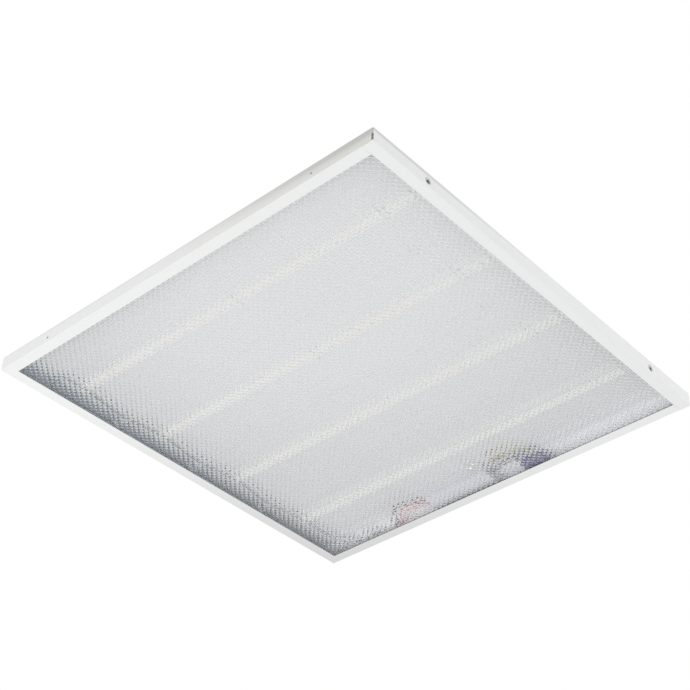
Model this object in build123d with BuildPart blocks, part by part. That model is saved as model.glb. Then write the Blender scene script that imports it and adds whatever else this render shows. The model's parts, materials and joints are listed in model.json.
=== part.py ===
from build123d import *
import os
from math import pi, radians, sin, tan

os.makedirs("parts", exist_ok=True)

# Recessed lay-in ceiling light for a 600 mm grid. Millimetres.
# Z = 0 is the visible face of the rim, the light shines towards -Z and the back plate is on top.
# X runs along the light strips. The origin is the middle of the rim face.

# ---------------------------------------------------------------- driving dimensions
# folded sheet housing
panel_side = 595.0
panel_height = 19.0
sheet = 0.6
bend_radius = 0.8
rim_width = 14.7
seam = 0.15                   # gap where one folded sheet meets the other
corner_relief = 1.8           # notch at the back corners, where the folds meet
side_hole_radius = 1.6
side_hole_spacing = 424.0
side_hole_height = 7.0

# stiffening swages pressed into the back plate between the light strips
swage_length = 420.0
swage_width = 14.0
swage_depth = 1.2
press_slope = 45.0

# end strip that unscrews so that the prismatic sheet can slide out
lip_bottom = 4.0
tab_length = 12.0
tab_height = 7.0
corner_slot_height = 10.5
corner_slot_width = 1.8      # in the tray's side walls
corner_slot_edge = 1.2        # in the ends of the end strip's wall
return_relief = 1.2           # how far the upper corners are drawn in
dimple_depth = 1.5
dimple_mouth_radius = 4.6
dimple_floor_radius = 3.4
end_screw_spacing = 420.0
end_screw_height = 7.4
collar_length = 1.4
collar_wall = 0.7

# screws
screw_radius = 1.5
screw_head_radius = 2.8
screw_head_height = 1.4
screw_fit = 0.08              # running clearance round a shank, on the radius
cross_width = 0.8
cross_length = 3.0
cross_depth = 0.9

# prismatic sheet
diffuser_thickness = 2.0
diffuser_lift = 0.3           # gap under the sheet where it lies over the rim
diffuser_margin = 1.0         # gap round the sheet's four edges

# light strips
strip_rows = 4
strip_pitch = 132.0
strip_end_gap = 28.9          # from a strip's end to the inside of the wall
strip_width = 14.0
strip_thickness = 1.2
leds_per_strip = 28
led_end_margin = 19.6         # from a strip's end to its last chip
led_length = 3.5
led_width = 2.8
led_height = 0.8

# snap clips that hold the strips against the back plate
clip_steps = (-12, 0, 12)     # in chip pitches from the middle, between two chips
clip_strap_length = 5.0
clip_strap_thickness = 1.0
clip_leg_thickness = 1.4
clip_leg_gap = 0.3
slot_fit = 0.15               # round every peg or leg that snaps into the back plate

# wire connectors on the strips
connector_length = 9.0
connector_width = 8.0
connector_height = 4.2
connector_inset = 1.5
connector_chamfer = 0.4
release_length = 3.0
release_width = 1.4
release_depth = 0.8

# driver
driver_length = 104.0
driver_width = 36.0
driver_height = 12.5
driver_x = -44.0
driver_wall_gap = 3.4         # from the driver's side to the inside of the wall
driver_wall = 1.5
driver_corner = 3.0
driver_edge = 1.2
ear_length = 9.0
ear_width = 16.0
peg_side = 4.0
board_margin = 1.2
board_thickness = 1.6
board_drop = 2.2              # from the driver's base to the board
post_side = 3.0
post_inset = 3.0
transformer_length = 18.0
transformer_width = 16.0
transformer_height = 5.2
winding_plate = 2.5
winding_bulge = 2.0
winding_inset = 0.8
capacitor_radius = 2.5
capacitor_length = 16.0
capacitor_spread = 28.0
inner_gap = 0.3

# terminal block
pole_count = 3
pole_pitch = 10.0
terminal_length = 34.0
terminal_width = 20.0
terminal_height = 12.0
terminal_x = 71.0
terminal_wall_gap = 4.9
terminal_chamfer = 0.7
groove_width = 0.8
groove_depth = 0.8
entry_side = 2.8
entry_funnel = 0.7
entry_depth = 8.0
lower_entry_z = 10.5
upper_entry_z = 15.0
button_length = 6.0
button_width = 4.0
button_height = 4.6
button_proud = 1.6
button_travel = 1.2
button_fit = 0.2
button_setback = 13.0         # from the entry face to the middle of the buttons
button_chamfer = 0.5
button_slot_length = 3.4
button_slot_width = 0.9
button_slot_depth = 0.6
clamp_width = 6.0
clamp_depth = 3.0
clamp_height = 8.0
clamp_sheet = 0.6

# cable entry with its rubber grommet, sunk into a pressed recess
grommet_x = -6.0
grommet_wall_distance = 53.9  # from its middle to the inside of the wall
grommet_bore = 4.5
grommet_neck = 6.2
grommet_flange = 8.0
grommet_lip = 1.3
grommet_fit = 0.1
recess_depth = 1.4
recess_margin = 3.0

# earth point
earth_x = 28.0
earth_wall_distance = 48.9
earth_radius = 2.0
earth_head_radius = 3.6
earth_head_height = 2.2
washer_radius = 4.2
washer_thickness = 0.5
washer_teeth = 12
tooth_depth = 0.6
lug_radius = 3.9
lug_thickness = 0.8
lug_crimp_width = 3.6
lug_crimp_height = 3.2
lug_crimp_length = 7.0

# leads, plug, socket and lead clips
lead_radius = 0.9
strip_lead_radius = 0.7
lead_sides = 5
lead_fit = 0.15
lead_insertion = 2.5
terminal_insertion = 4.0
lead_reach = 1.2              # how far a lead shows inside the driver's case
output_offsets = (-5.5, 1.5)  # leads from the driver's middle line
input_offsets = (-11.5, -5.5)
plug_x = -172.0               # wire face of the in-line plug
plug_wall_distance = 8.9
plug_length = 10.0
socket_length = 12.0
plug_width = 8.0
plug_height = 6.6
plug_pitch = 3.4
plug_chamfer = 0.6
latch_width = 3.0
latch_thickness = 0.9
saddle_length = 8.0
saddle_width = 5.0
saddle_wall = 1.0
saddle_y = (-120.0, 10.0, 140.0)
return_gap = 8.5              # return lead's middle to the outside of the housing
return_loop = 36.0            # how far the return lead passes the last strip
jumper_bow = 9.0              # sideways slack of a jumper lead
jumper_straight = 16.0        # from a strip's middle to where a jumper starts to bow

# ---------------------------------------------------------------- derived places
half_side = panel_side / 2
inside_wall = half_side - sheet              # inner face of every outer wall
back_inside = panel_height - sheet           # lower face of the back plate
rim_edge = half_side - rim_width             # inner edge of the rim
tray_end = inside_wall - seam                # where the tray's side walls stop
lip_outside = half_side - dimple_depth - sheet - seam
lip_inside = lip_outside - sheet
tab_outside = inside_wall - seam
tab_bottom = corner_slot_height + seam
end_screw_y = (-end_screw_spacing / 2, end_screw_spacing / 2)
end_screw_length = dimple_depth + collar_length
end_screw_spots = [(y, end_screw_height) for y in end_screw_y]
side_hole_x = (-side_hole_spacing / 2, side_hole_spacing / 2)
diffuser_bottom = sheet + diffuser_lift
diffuser_side = 2 * (inside_wall - diffuser_margin)

strip_length = 2 * (inside_wall - strip_end_gap)
led_pitch = (strip_length - 2 * led_end_margin) / (leds_per_strip - 1)
strip_y = [(row - (strip_rows - 1) / 2) * strip_pitch for row in range(strip_rows)]
swage_y = [(low + high) / 2 for low, high in zip(strip_y, strip_y[1:])]
strip_face = back_inside - strip_thickness
clip_spots = [(step * led_pitch, y) for step in clip_steps for y in strip_y]
clip_leg_offset = strip_width / 2 + clip_leg_gap + clip_leg_thickness / 2
leg_spots = [(x, y + side * clip_leg_offset) for x, y in clip_spots for side in (-1, 1)]
connector_x = -strip_length / 2 + connector_inset + connector_length / 2
connector_bottom = strip_face - connector_height
connector_end = connector_width / 2 - lead_insertion     # lead ends, from a strip's middle
strip_lead_z = strip_face - connector_height / 2      # the strip leads all run at this height

driver_y = inside_wall - driver_wall_gap - driver_width / 2
driver_low_x = driver_x - driver_length / 2
driver_high_x = driver_x + driver_length / 2
driver_bottom = back_inside - driver_height
base_bottom = back_inside - driver_wall
driver_depth = base_bottom - driver_bottom
board_top = base_bottom - board_drop
board_bottom = board_top - board_thickness
board_length = driver_length - 2 * driver_wall - 2 * board_margin
board_width = driver_width - 2 * driver_wall - 2 * board_margin
driver_lead_z = base_bottom - lead_radius - lead_fit
peg_spots = [(driver_low_x - ear_length / 2, driver_y), (driver_high_x + ear_length / 2, driver_y)]
black_y, red_y = [driver_y + offset for offset in output_offsets]
blue_y, brown_y = [driver_y + offset for offset in input_offsets]

terminal_y = inside_wall - terminal_wall_gap - terminal_width / 2
terminal_bottom = back_inside - terminal_height
entry_face_y = terminal_y - terminal_width / 2
pole_x = [terminal_x + (pole - (pole_count - 1) / 2) * pole_pitch for pole in range(pole_count)]
button_y = entry_face_y + button_setback
button_bottom = terminal_bottom - button_proud
shaft_height = button_height - button_proud + button_travel + inner_gap
clamp_y = entry_face_y + entry_depth - clamp_depth / 2
clamp_z = (lower_entry_z + upper_entry_z) / 2
foot_offset = terminal_length / 2 - peg_side
foot_spots = [(terminal_x - foot_offset, terminal_y), (terminal_x + foot_offset, terminal_y)]

grommet_y = inside_wall - grommet_wall_distance
recess_floor = back_inside - recess_depth
recess_radius = grommet_flange + recess_margin
earth_y = inside_wall - earth_wall_distance
lug_top = back_inside - washer_thickness
lug_bottom = lug_top - lug_thickness
crimp_x = earth_x + lug_radius + inner_gap
lug_lead_z = lug_top - lug_crimp_height / 2

plug_y = inside_wall - plug_wall_distance
plug_near_y = plug_y - plug_pitch / 2
plug_far_y = plug_y + plug_pitch / 2
socket_face_x = plug_x - plug_length - socket_length
return_x = -half_side + return_gap
wall_saddle_x = (socket_face_x + connector_x) / 2
saddle_bottom = strip_lead_z - strip_lead_radius - saddle_wall


# ---------------------------------------------------------------- shared forms
def tube_along(points, radius, name):
    """A lead: straight runs joined by tangent arcs that take 0.45 of the shorter run beside them."""
    corners = [Vector(point) for point in points]
    radii = []
    for before, corner, after in zip(corners, corners[1:], corners[2:]):
        arriving = corner - before
        leaving = after - corner
        turn = radians(arriving.get_angle(leaving))
        radii.append(0.45 * min(arriving.length, leaving.length) / tan(turn / 2))
    with BuildPart() as tube:
        with BuildLine():
            route = FilletPolyline(*points, radius=radii)
        with BuildSketch(Plane(origin=route @ 0, z_dir=route % 0)):
            RegularPolygon(radius, lead_sides)
        sweep()
    section = lead_sides / 2 * radius**2 * sin(2 * pi / lead_sides)
    ratio = tube.part.volume / (section * route.length)
    print(f"{name}: length {route.length:.1f}, least bend {min(radii):.1f}, volume ratio {ratio:.4f}")
    return tube


# ---------------------------------------------------------------- housing tray
with BuildPart() as housing_tray:
    # closed box of folded sheet, open towards +X
    with BuildSketch(Plane.YZ.offset(-half_side)):
        with Locations((0, panel_height / 2)):
            RectangleRounded(panel_side, panel_height, bend_radius)
    extrude(amount=half_side + tray_end)
    fillet(housing_tray.faces().sort_by(Axis.X)[0].edges().filter_by(Axis.Y), bend_radius)
    with BuildSketch(Plane.YZ.offset(-inside_wall)):
        with Locations((0, panel_height / 2)):
            Rectangle(panel_side - 2 * sheet, panel_height - 2 * sheet)
    extrude(amount=inside_wall + half_side, mode=Mode.SUBTRACT)
    # the light opening leaves the rim; the rim of the +X side belongs to the end strip
    with BuildSketch(Plane.XY):
        Rectangle(2 * rim_edge, 2 * rim_edge)
        with Locations(((rim_edge - seam + half_side) / 2, 0)):
            Rectangle(half_side - rim_edge + seam, panel_side)
    extrude(amount=sheet + seam, mode=Mode.SUBTRACT)
    # the top of the +X side is left to the end strip's return
    with BuildSketch(Plane.XY.offset(panel_height)):
        with Locations(((lip_outside + half_side) / 2, 0)):
            Rectangle(half_side - lip_outside, panel_side)
    extrude(amount=-sheet - seam, mode=Mode.SUBTRACT)
    # slots in the side walls beside the +X corners
    with BuildSketch(Plane.XZ):
        with Locations((inside_wall - corner_slot_width / 2, corner_slot_height / 2)):
            Rectangle(corner_slot_width, corner_slot_height)
    extrude(amount=half_side, both=True, mode=Mode.SUBTRACT)
    # turned-down lip that takes the end screws
    with BuildSketch(Plane.XZ):
        with BuildLine():
            Polyline(
                (lip_outside, lip_bottom),
                (lip_outside, panel_height),
                (lip_inside - sheet, panel_height),
                (lip_inside - sheet, back_inside),
                (lip_inside, back_inside),
                (lip_inside, lip_bottom),
                close=True,
            )
        make_face()
    extrude(amount=tab_outside - sheet - seam, both=True)
    # notches where the folds meet at the far back corners
    with BuildSketch(Plane.XY.offset(panel_height)):
        with Locations((-half_side, -half_side), (-half_side, half_side)):
            Rectangle(2 * corner_relief, 2 * corner_relief, rotation=45)
    extrude(amount=-2 * sheet, mode=Mode.SUBTRACT)
    # stiffening swages, pressed towards the light
    with BuildSketch(Plane.XY.offset(back_inside)):
        with Locations(*[(0, y) for y in swage_y]):
            Rectangle(swage_length, swage_width)
    extrude(amount=-swage_depth, taper=press_slope)
    with BuildSketch(Plane.XY.offset(panel_height)):
        with Locations(*[(0, y) for y in swage_y]):
            Rectangle(swage_length, swage_width)
    extrude(amount=-swage_depth, taper=press_slope, mode=Mode.SUBTRACT)
    # pressed recess that sinks the cable grommet
    with BuildSketch(Plane.XY.offset(back_inside)):
        with Locations((grommet_x, grommet_y)):
            Circle(recess_radius)
    extrude(amount=-recess_depth, taper=press_slope)
    with BuildSketch(Plane.XY.offset(panel_height)):
        with Locations((grommet_x, grommet_y)):
            Circle(recess_radius)
    extrude(amount=-recess_depth, taper=press_slope, mode=Mode.SUBTRACT)
    # burred collars behind the lip for the end screws
    with BuildSketch(Plane.YZ.offset(lip_inside)):
        with Locations(*end_screw_spots):
            Circle(screw_radius + screw_fit + collar_wall)
    extrude(amount=-collar_length)
    with BuildSketch(Plane.YZ.offset(lip_outside)):
        with Locations(*end_screw_spots):
            Circle(screw_radius + screw_fit)
    extrude(amount=-sheet - collar_length, mode=Mode.SUBTRACT)
    # small holes in the two side walls
    with BuildSketch(Plane.XZ):
        with Locations(*[(x, side_hole_height) for x in side_hole_x]):
            Circle(side_hole_radius)
    extrude(amount=half_side, both=True, mode=Mode.SUBTRACT)
    # slots and holes in the back plate for what is fixed to it
    with BuildSketch(Plane.XY.offset(panel_height)):
        with Locations(*leg_spots):
            Rectangle(clip_strap_length + 2 * slot_fit, clip_leg_thickness + 2 * slot_fit)
        with Locations(*peg_spots, *foot_spots):
            Rectangle(peg_side + 2 * slot_fit, peg_side + 2 * slot_fit)
        with Locations((grommet_x, grommet_y)):
            Circle(grommet_neck + grommet_fit)
        with Locations((earth_x, earth_y)):
            Circle(earth_radius + screw_fit)
    extrude(amount=recess_floor - panel_height, mode=Mode.SUBTRACT)
housing_tray.part.label = "housing_tray"
export_step(housing_tray.part, "parts/housing_tray.step")

# ---------------------------------------------------------------- end strip and its screws
with BuildPart() as end_strip:
    with BuildSketch(Plane.XZ):
        with BuildLine():
            Polyline(
                (rim_edge, 0),
                (half_side, 0),
                (half_side, panel_height),
                (lip_outside + seam, panel_height),
                (lip_outside + seam, back_inside),
                (inside_wall, back_inside),
                (inside_wall, sheet),
                (rim_edge, sheet),
                close=True,
            )
        make_face()
    extrude(amount=half_side, both=True)
    fillet(end_strip.faces().sort_by(Axis.X)[-1].edges().filter_by(Axis.Y), bend_radius)
    # upper corners drawn in where the return is folded
    with BuildSketch(Plane.YZ.offset(half_side)):
        with BuildLine():
            Polyline(
                (half_side, panel_height),
                (half_side - return_relief, panel_height),
                (half_side, corner_slot_height),
                close=True,
            )
        make_face()
        mirror(about=Plane.YZ)
    extrude(amount=lip_outside - half_side, mode=Mode.SUBTRACT)
    # lower corners left open beside the tray's slots
    with BuildSketch(Plane.YZ.offset(half_side)):
        slot_y = half_side - corner_slot_edge / 2
        with Locations((-slot_y, (sheet + corner_slot_height) / 2), (slot_y, (sheet + corner_slot_height) / 2)):
            Rectangle(corner_slot_edge, corner_slot_height - sheet)
    extrude(amount=-sheet, mode=Mode.SUBTRACT)
    # tabs that reach inside the tray's side walls
    tab_x = inside_wall - tab_length / 2
    tab_y = tab_outside - sheet / 2
    with BuildSketch(Plane.XY.offset(tab_bottom)):
        with Locations((tab_x, -tab_y), (tab_x, tab_y)):
            Rectangle(tab_length, sheet)
    extrude(amount=tab_height)
    # dimples that sink the screw heads
    with Locations(*[(half_side - sheet, y, end_screw_height) for y in end_screw_y]):
        Cone(
            dimple_floor_radius + sheet / 2,
            dimple_mouth_radius + sheet / 2,
            dimple_depth,
            rotation=(0, 90, 0),
            align=(Align.CENTER, Align.CENTER, Align.MAX),
        )
    with Locations(*[(half_side, y, end_screw_height) for y in end_screw_y]):
        Cone(
            dimple_floor_radius,
            dimple_mouth_radius,
            dimple_depth,
            rotation=(0, 90, 0),
            align=(Align.CENTER, Align.CENTER, Align.MAX),
            mode=Mode.SUBTRACT,
        )
        Cylinder(screw_radius + screw_fit, 4 * dimple_depth, rotation=(0, 90, 0), mode=Mode.SUBTRACT)
end_strip.part.label = "end_strip"
export_step(end_strip.part, "parts/end_strip.step")

screw_seat = half_side - dimple_depth
with BuildPart() as end_strip_screws:
    with BuildSketch(Plane.YZ.offset(screw_seat)):
        with Locations(*end_screw_spots):
            Circle(screw_head_radius)
    extrude(amount=screw_head_height)
    with BuildSketch(Plane.YZ.offset(screw_seat)):
        with Locations(*end_screw_spots):
            Circle(screw_radius)
    extrude(amount=-end_screw_length)
    with BuildSketch(Plane.YZ.offset(screw_seat + screw_head_height)):
        with Locations(*end_screw_spots):
            Rectangle(cross_length, cross_width)
            Rectangle(cross_width, cross_length)
    extrude(amount=-cross_depth, mode=Mode.SUBTRACT)
end_strip_screws.part.label = "end_strip_screws"
export_step(end_strip_screws.part, "parts/end_strip_screws.step")

# ---------------------------------------------------------------- prismatic sheet
with BuildPart() as diffuser:
    with BuildSketch(Plane.XY.offset(diffuser_bottom)):
        Rectangle(diffuser_side, diffuser_side)
    extrude(amount=diffuser_thickness)
diffuser.part.label = "diffuser"
export_step(diffuser.part, "parts/diffuser.step")

# ---------------------------------------------------------------- light strips
for number, y in enumerate(strip_y, start=1):
    with BuildPart() as led_strip:
        with BuildSketch(Plane.XY.offset(back_inside)):
            with Locations((0, y)):
                Rectangle(strip_length, strip_width)
        extrude(amount=-strip_thickness)
    led_strip.part.label = f"led_strip_{number}"
    export_step(led_strip.part, f"parts/led_strip_{number}.step")

    with BuildPart() as led_chips:
        with BuildSketch(Plane.XY.offset(strip_face)):
            with Locations((0, y)):
                with GridLocations(led_pitch, led_pitch, leds_per_strip, 1):
                    Rectangle(led_length, led_width)
        extrude(amount=-led_height)
    led_chips.part.label = f"led_chips_{number}"
    export_step(led_chips.part, f"parts/led_chips_{number}.step")

    with BuildPart() as strip_connector:
        with BuildSketch(Plane.XY.offset(strip_face)):
            with Locations((connector_x, y)):
                Rectangle(connector_length, connector_width)
        extrude(amount=-connector_height)
        chamfer(strip_connector.faces().sort_by(Axis.Z)[0].edges(), connector_chamfer)
        # one lead entry in each long side and a release window beside it
        for side in (-1, 1):
            entry = 2 * (strip_lead_radius + lead_fit)
            entry_length = lead_insertion + inner_gap
            with Locations((connector_x, y + side * (connector_width - entry_length) / 2, strip_lead_z)):
                Box(entry, entry_length, entry, mode=Mode.SUBTRACT)
            with Locations((connector_x, y + side * connector_width / 4, connector_bottom)):
                Box(release_length, release_width, 2 * release_depth, mode=Mode.SUBTRACT)
    strip_connector.part.label = f"strip_connector_{number}"
    export_step(strip_connector.part, f"parts/strip_connector_{number}.step")

with BuildPart() as strip_clips:
    strap_width = 2 * clip_leg_offset + clip_leg_thickness
    with BuildSketch(Plane.XY.offset(strip_face)):
        with Locations(*clip_spots):
            Rectangle(clip_strap_length, strap_width)
    extrude(amount=-clip_strap_thickness)
    with BuildSketch(Plane.XY.offset(strip_face)):
        with Locations(*leg_spots):
            Rectangle(clip_strap_length, clip_leg_thickness)
    extrude(amount=strip_thickness + sheet)
strip_clips.part.label = "strip_clips"
export_step(strip_clips.part, "parts/strip_clips.step")

# ---------------------------------------------------------------- driver
with BuildPart() as driver_base:
    with BuildSketch(Plane.XY.offset(back_inside)):
        with Locations((driver_x, driver_y)):
            case_outline = Rectangle(driver_length, driver_width)
            chamfer(case_outline.vertices(), driver_corner)
            Rectangle(driver_length + 2 * ear_length, ear_width)
    extrude(amount=-driver_wall)
    # pegs that snap into the back plate
    with BuildSketch(Plane.XY.offset(back_inside)):
        with Locations(*peg_spots):
            Rectangle(peg_side, peg_side)
    extrude(amount=sheet)
    # posts that carry the board
    with BuildSketch(Plane.XY.offset(base_bottom)):
        with Locations((driver_x, driver_y)):
            with GridLocations(board_length - 2 * post_inset, board_width - 2 * post_inset, 2, 2):
                Rectangle(post_side, post_side)
    extrude(amount=-board_drop)
driver_base.part.label = "driver_base"
export_step(driver_base.part, "parts/driver_base.step")

with BuildPart() as driver_cover:
    with BuildSketch(Plane.XY.offset(base_bottom)):
        with Locations((driver_x, driver_y)):
            case_outline = Rectangle(driver_length, driver_width)
        chamfer(case_outline.vertices(), driver_corner)
    extrude(amount=-driver_depth)
    chamfer(driver_cover.faces().sort_by(Axis.Z)[0].edges(), driver_edge)
    with BuildSketch(Plane.XY.offset(base_bottom)):
        with Locations((driver_x, driver_y)):
            Rectangle(driver_length - 2 * driver_wall, driver_width - 2 * driver_wall)
    extrude(amount=driver_wall - driver_depth, mode=Mode.SUBTRACT)
    # notches for the leads in the two end walls
    lead_notch = 2 * (lead_radius + lead_fit)
    notch_low = driver_low_x + driver_wall / 2
    notch_high = driver_high_x - driver_wall / 2
    with BuildSketch(Plane.XY.offset(base_bottom)):
        with Locations((notch_low, black_y), (notch_low, red_y), (notch_high, brown_y), (notch_high, blue_y)):
            Rectangle(driver_wall, lead_notch)
    extrude(amount=-lead_notch, mode=Mode.SUBTRACT)
driver_cover.part.label = "driver_cover"
export_step(driver_cover.part, "parts/driver_cover.step")

with BuildPart() as driver_board:
    with BuildSketch(Plane.XY.offset(board_top)):
        with Locations((driver_x, driver_y)):
            Rectangle(board_length, board_width)
    extrude(amount=-board_thickness)
driver_board.part.label = "driver_board"
export_step(driver_board.part, "parts/driver_board.step")

with BuildPart() as driver_transformer:
    with BuildSketch(Plane.XY.offset(board_bottom)):
        with Locations((driver_x, driver_y)):
            Rectangle(transformer_length, transformer_width)
    extrude(amount=-transformer_height)
    # the winding stands out on both sides between the core's end plates
    with BuildSketch(Plane.XY.offset(board_bottom - winding_inset)):
        with Locations((driver_x, driver_y)):
            Rectangle(transformer_length - 2 * winding_plate, transformer_width + 2 * winding_bulge)
    extrude(amount=2 * winding_inset - transformer_height)
driver_transformer.part.label = "driver_transformer"
export_step(driver_transformer.part, "parts/driver_transformer.step")

with BuildPart() as driver_capacitors:
    capacitor_z = board_bottom - capacitor_radius - lead_fit
    with Locations(*[(driver_x + side * capacitor_spread, driver_y, capacitor_z) for side in (-1, 1)]):
        Cylinder(capacitor_radius, capacitor_length, rotation=(0, 90, 0))
driver_capacitors.part.label = "driver_capacitors"
export_step(driver_capacitors.part, "parts/driver_capacitors.step")

# ---------------------------------------------------------------- terminal block
with BuildPart() as terminal_block:
    with BuildSketch(Plane.XY.offset(back_inside)):
        with Locations((terminal_x, terminal_y)):
            Rectangle(terminal_length, terminal_width)
    extrude(amount=-terminal_height)
    chamfer(terminal_block.faces().sort_by(Axis.Z)[0].edges(), terminal_chamfer)
    # feet that snap into the back plate
    with BuildSketch(Plane.XY.offset(back_inside)):
        with Locations(*foot_spots):
            Rectangle(peg_side, peg_side)
    extrude(amount=sheet)
    # grooves between the poles
    with BuildSketch(Plane.XY.offset(terminal_bottom)):
        with Locations(*[((low + high) / 2, terminal_y) for low, high in zip(pole_x, pole_x[1:])]):
            Rectangle(groove_width, terminal_width)
    extrude(amount=groove_depth, mode=Mode.SUBTRACT)
    # conductor entries with funnel mouths, two to a pole
    entry_face = Plane(origin=(0, entry_face_y, 0), x_dir=(-1, 0, 0), z_dir=(0, 1, 0))
    entry_spots = [(-x, z) for x in pole_x for z in (lower_entry_z, upper_entry_z)]
    with BuildSketch(entry_face):
        with Locations(*entry_spots):
            Rectangle(entry_side, entry_side)
    extrude(amount=entry_depth, mode=Mode.SUBTRACT)
    mouths = [mouth.edges() for mouth in terminal_block.faces().sort_by(Axis.Y)[0].inner_wires()]
    chamfer([edge for mouth in mouths for edge in mouth], entry_funnel)
    # cavities of the clamps
    with Locations(*[(x, clamp_y, clamp_z) for x in pole_x]):
        Box(
            clamp_width + 2 * inner_gap,
            clamp_depth + 2 * inner_gap,
            clamp_height + 2 * inner_gap,
            mode=Mode.SUBTRACT,
        )
    # shafts of the release buttons
    with BuildSketch(Plane.XY.offset(terminal_bottom)):
        with Locations(*[(x, button_y) for x in pole_x]):
            Rectangle(button_length + 2 * button_fit, button_width + 2 * button_fit)
    extrude(amount=shaft_height, mode=Mode.SUBTRACT)
terminal_block.part.label = "terminal_block"
export_step(terminal_block.part, "parts/terminal_block.step")

with BuildPart() as terminal_clamps:
    with BuildSketch(Plane.XY.offset(clamp_z - clamp_height / 2)):
        with Locations(*[(x, clamp_y) for x in pole_x]):
            Rectangle(clamp_width, clamp_depth)
        with Locations(*[(x, clamp_y - clamp_sheet) for x in pole_x]):
            Rectangle(clamp_width - 2 * clamp_sheet, clamp_depth, mode=Mode.SUBTRACT)
    extrude(amount=clamp_height)
terminal_clamps.part.label = "terminal_clamps"
export_step(terminal_clamps.part, "parts/terminal_clamps.step")

for number, x in enumerate(pole_x, start=1):
    with BuildPart() as terminal_button:
        with BuildSketch(Plane.XY.offset(button_bottom)):
            with Locations((x, button_y)):
                Rectangle(button_length, button_width)
        extrude(amount=button_height)
        chamfer(terminal_button.faces().sort_by(Axis.Z)[0].edges(), button_chamfer)
        # slot for the blade that presses the button
        with BuildSketch(Plane.XY.offset(button_bottom)):
            with Locations((x, button_y)):
                Rectangle(button_slot_length, button_slot_width)
        extrude(amount=button_slot_depth, mode=Mode.SUBTRACT)
    terminal_button.part.label = f"terminal_button_{number}"
    export_step(terminal_button.part, f"parts/terminal_button_{number}.step")

# ---------------------------------------------------------------- cable entry
with BuildPart() as cable_grommet:
    for height, thickness, radius in (
        (recess_floor - grommet_lip, grommet_lip, grommet_flange),
        (recess_floor, sheet, grommet_neck),
        (recess_floor + sheet, grommet_lip, grommet_flange),
    ):
        with BuildSketch(Plane.XY.offset(height)):
            with Locations((grommet_x, grommet_y)):
                Circle(radius)
                Circle(grommet_bore, mode=Mode.SUBTRACT)
        extrude(amount=thickness)
cable_grommet.part.label = "cable_grommet"
export_step(cable_grommet.part, "parts/cable_grommet.step")

# ---------------------------------------------------------------- earth point
with BuildPart() as earth_washer:
    with BuildSketch(Plane.XY.offset(back_inside)):
        with Locations((earth_x, earth_y)):
            RegularPolygon(washer_radius - tooth_depth / 2, washer_teeth)
            with PolarLocations(washer_radius - tooth_depth, washer_teeth):
                Rectangle(2 * tooth_depth, tooth_depth)
            Circle(earth_radius + screw_fit, mode=Mode.SUBTRACT)
    extrude(amount=-washer_thickness)
earth_washer.part.label = "earth_washer"
export_step(earth_washer.part, "parts/earth_washer.step")

with BuildPart() as earth_lug:
    with BuildSketch(Plane.XY.offset(lug_top)):
        with Locations((earth_x, earth_y)):
            Circle(lug_radius)
        with Locations(((earth_x + crimp_x) / 2, earth_y)):
            Rectangle(crimp_x - earth_x, lug_crimp_width)
        with Locations((earth_x, earth_y)):
            Circle(earth_radius + screw_fit, mode=Mode.SUBTRACT)
    extrude(amount=-lug_thickness)
    # crimp sleeve round the lead
    with BuildSketch(Plane.YZ.offset(crimp_x)):
        with Locations((earth_y, lug_lead_z)):
            Rectangle(lug_crimp_width, lug_crimp_height)
            Rectangle(2 * (lead_radius + lead_fit), 2 * (lead_radius + lead_fit), mode=Mode.SUBTRACT)
    extrude(amount=lug_crimp_length)
earth_lug.part.label = "earth_lug"
export_step(earth_lug.part, "parts/earth_lug.step")

with BuildPart() as earth_screw:
    with BuildSketch(Plane.XY.offset(lug_bottom)):
        with Locations((earth_x, earth_y)):
            RegularPolygon(earth_head_radius, 6)
    extrude(amount=-earth_head_height)
    with BuildSketch(Plane.XY.offset(lug_bottom)):
        with Locations((earth_x, earth_y)):
            Circle(earth_radius)
    extrude(amount=panel_height - lug_bottom)
    with BuildSketch(Plane.XY.offset(lug_bottom - earth_head_height)):
        with Locations((earth_x, earth_y)):
            Rectangle(cross_length, cross_width)
            Rectangle(cross_width, cross_length)
    extrude(amount=cross_depth, mode=Mode.SUBTRACT)
earth_screw.part.label = "earth_screw"
export_step(earth_screw.part, "parts/earth_screw.step")

# ---------------------------------------------------------------- in-line plug and socket
with BuildPart() as lead_plug:
    with BuildSketch(Plane.XY.offset(back_inside)):
        with Locations((plug_x - plug_length / 2, plug_y)):
            Rectangle(plug_length, plug_width)
    extrude(amount=-plug_height)
    chamfer(lead_plug.edges().filter_by(Axis.X), plug_chamfer)
    with BuildSketch(Plane.YZ.offset(plug_x)):
        with Locations((plug_near_y, strip_lead_z), (plug_far_y, strip_lead_z)):
            Rectangle(2 * (lead_radius + lead_fit), 2 * (lead_radius + lead_fit))
    extrude(amount=-lead_insertion - inner_gap, mode=Mode.SUBTRACT)
    # latch that hooks the plug to the socket
    with BuildSketch(Plane.XY.offset(back_inside - plug_height)):
        with Locations((plug_x - plug_length / 2, plug_y)):
            Rectangle(plug_length, latch_width)
    extrude(amount=-latch_thickness)
lead_plug.part.label = "lead_plug"
export_step(lead_plug.part, "parts/lead_plug.step")

with BuildPart() as lead_socket:
    with BuildSketch(Plane.XY.offset(back_inside)):
        with Locations((plug_x - plug_length - socket_length / 2, plug_y)):
            Rectangle(socket_length, plug_width)
    extrude(amount=-plug_height)
    chamfer(lead_socket.edges().filter_by(Axis.X), plug_chamfer)
    with BuildSketch(Plane.YZ.offset(socket_face_x)):
        with Locations((plug_near_y, strip_lead_z), (plug_far_y, strip_lead_z)):
            Rectangle(2 * (strip_lead_radius + lead_fit), 2 * (strip_lead_radius + lead_fit))
    extrude(amount=lead_insertion + inner_gap, mode=Mode.SUBTRACT)
lead_socket.part.label = "lead_socket"
export_step(lead_socket.part, "parts/lead_socket.step")

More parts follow.
